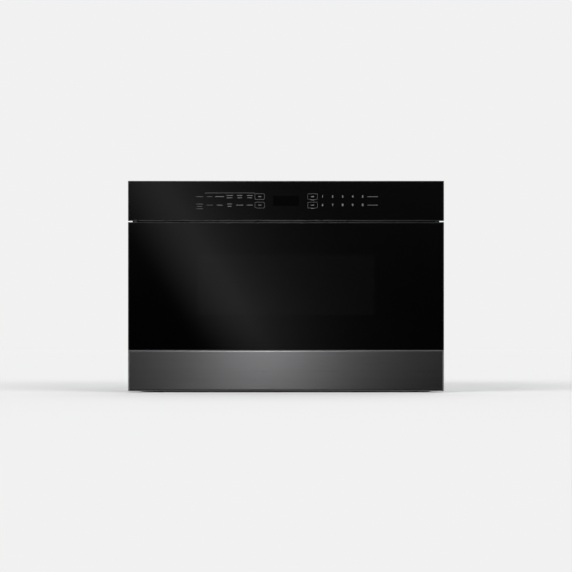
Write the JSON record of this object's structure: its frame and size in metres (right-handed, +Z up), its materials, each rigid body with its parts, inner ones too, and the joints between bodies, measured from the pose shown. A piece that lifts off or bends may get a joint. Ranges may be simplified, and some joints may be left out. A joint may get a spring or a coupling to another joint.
{
  "type": "built-in microwave drawer",
  "caption": "Built-in microwave drawer with a black glass front, a touch control strip above and a pan on telescopic slides that a rack drives out.",
  "frame": {"origin": "under the middle of the object's box, on the surface that the feet stand on", "axes": "+X to the right of the front, +Y to the back, +Z up; the front faces -Y and the drawer runs out along -Y"},
  "size_m": [0.759, 0.678, 0.508],
  "materials": {
    "aluminium_duct": "bare aluminium sheet",
    "aluminium_fins": "bare aluminium",
    "black_glass": "black tinted glass, polished",
    "black_plastic": "moulded, fine matt",
    "board_green": "circuit board",
    "bright_steel": "bright steel",
    "bulb_glass": "clear bulb",
    "capacitor_can": "drawn can",
    "case_sheet": "dark painted sheet",
    "cavity_enamel": "pale grey baked enamel",
    "ceramic_glass": "pale glass ceramic plate",
    "clear_glass": "clear glass, polished",
    "copper_coil": "varnished copper",
    "dark_stainless": "dark brushed stainless, horizontal grain",
    "grey_plastic": "moulded, matt",
    "lamination": "varnished laminations",
    "pan_steel": "satin stainless",
    "rubber_black": "rubber",
    "screw_steel": "zinc plated",
    "steel_screen": "pierced black steel",
    "trim_metal": "dark satin metal edge",
    "white_plastic": "moulded, natural",
    "zinc_sheet": "galvanised sheet, dull"
  },
  "bodies": {
    "cabinet": {"base_pan": "zinc_sheet", "feet": "rubber_black", "case_wrapper": "zinc_sheet", "back_panel": "zinc_sheet", "cord_gland": "black_plastic", "case_screws": "screw_steel", "front_frame": "zinc_sheet", "cavity_liner": "cavity_enamel", "stirrer_cover": "white_plastic", "waveguide": "aluminium_duct", "stirrer_motor": "bright_steel", "magnetron_yoke": "zinc_sheet", "magnetron_tube": "bright_steel", "magnetron_fins": "aluminium_fins", "transformer_core": "lamination", "transformer_windings": "copper_coil", "capacitor": "capacitor_can", "fan_frame": "grey_plastic", "fan_motor": "lamination", "lamp_holder": "bright_steel", "lamp_bulb": "bulb_glass", "power_board": "board_green", "control_trim": "trim_metal", "control_glass": "black_glass", "control_housing": "black_plastic", "control_board": "board_green", "gap_bumpers": "white_plastic", "slide_mounts": "zinc_sheet", "slides_outer": "bright_steel", "drive_bracket": "bright_steel", "gearcase": "black_plastic", "drive_motor": "bright_steel", "rack_guide": "white_plastic", "interlock_switches": "black_plastic"},
    "drawer": {"drawer_pan": "pan_steel", "glass_tray": "ceramic_glass", "pan_glides": "white_plastic", "door_trim": "trim_metal", "door_glass": "black_glass", "lower_strip": "dark_stainless", "door_frame": "case_sheet", "rear_panel": "case_sheet", "choke_cover": "black_plastic", "window_screen": "steel_screen", "inner_glass": "clear_glass", "door_screws": "screw_steel", "slides_inner": "bright_steel", "slide_brackets": "bright_steel", "rack": "white_plastic", "latch_fingers": "grey_plastic"},
    "middle_members": {"slides_middle": "bright_steel"},
    "outer_cages": {"ball_cages_outer": "bright_steel"},
    "inner_cages": {"ball_cages_inner": "bright_steel"},
    "output_gear": {"pinion_shaft": "bright_steel", "drive_gear": "white_plastic"},
    "motor_gear": {"motor_pinion": "bright_steel"},
    "fan": {"fan_blade": "grey_plastic"},
    "stirrer": {"stirrer": "aluminium_fins"},
    "plunger_right": {"switch_plunger_right": "white_plastic"},
    "plunger_left": {"switch_plunger_left": "white_plastic"}
  },
  "joints": [
    {"name": "drawer_slide", "type": "slide", "parent": "cabinet", "child": "drawer", "axis": [0, -1, 0], "range_m": [0, 0.38]},
    {"name": "middle_members_slide", "type": "slide", "parent": "cabinet", "child": "middle_members", "axis": [0, -1, 0], "range_m": [0, 0.19]},
    {"name": "outer_cages_slide", "type": "slide", "parent": "cabinet", "child": "outer_cages", "axis": [0, -1, 0], "range_m": [0, 0.095]},
    {"name": "inner_cages_slide", "type": "slide", "parent": "cabinet", "child": "inner_cages", "axis": [0, -1, 0], "range_m": [0, 0.285]},
    {"name": "output_gear_turn", "type": "hinge", "parent": "cabinet", "child": "output_gear", "pos_m": [0, -0.24, 0.05], "axis": [1, 0, 0], "range_deg": [0, 1210]},
    {"name": "motor_gear_turn", "type": "hinge", "parent": "cabinet", "child": "motor_gear", "pos_m": [0, -0.195, 0.05], "axis": [1, 0, 0], "range_deg": [-4839, 0]},
    {"name": "fan_spin", "type": "hinge", "parent": "cabinet", "child": "fan", "pos_m": [0.268, 0.3, 0.12], "axis": [0, 1, 0], "continuous": true},
    {"name": "stirrer_spin", "type": "hinge", "parent": "cabinet", "child": "stirrer", "pos_m": [0, -0.092, 0.37], "axis": [0, 0, 1], "continuous": true},
    {"name": "plunger_right_press", "type": "slide", "parent": "cabinet", "child": "plunger_right", "axis": [0, 1, 0], "range_m": [0, 0.002], "stiffness_N_per_m": 80},
    {"name": "plunger_left_press", "type": "slide", "parent": "cabinet", "child": "plunger_left", "axis": [0, 1, 0], "range_m": [0, 0.002], "stiffness_N_per_m": 80}
  ],
  "couplings": [
    {"joint": "middle_members_slide", "follows": "drawer_slide", "ratio": 0.5},
    {"joint": "outer_cages_slide", "follows": "drawer_slide", "ratio": 0.25},
    {"joint": "inner_cages_slide", "follows": "drawer_slide", "ratio": 0.75},
    {"joint": "output_gear_turn", "follows": "drawer_slide", "rad_per_m": 55.556},
    {"joint": "motor_gear_turn", "follows": "drawer_slide", "rad_per_m": -222.22}
  ]
}
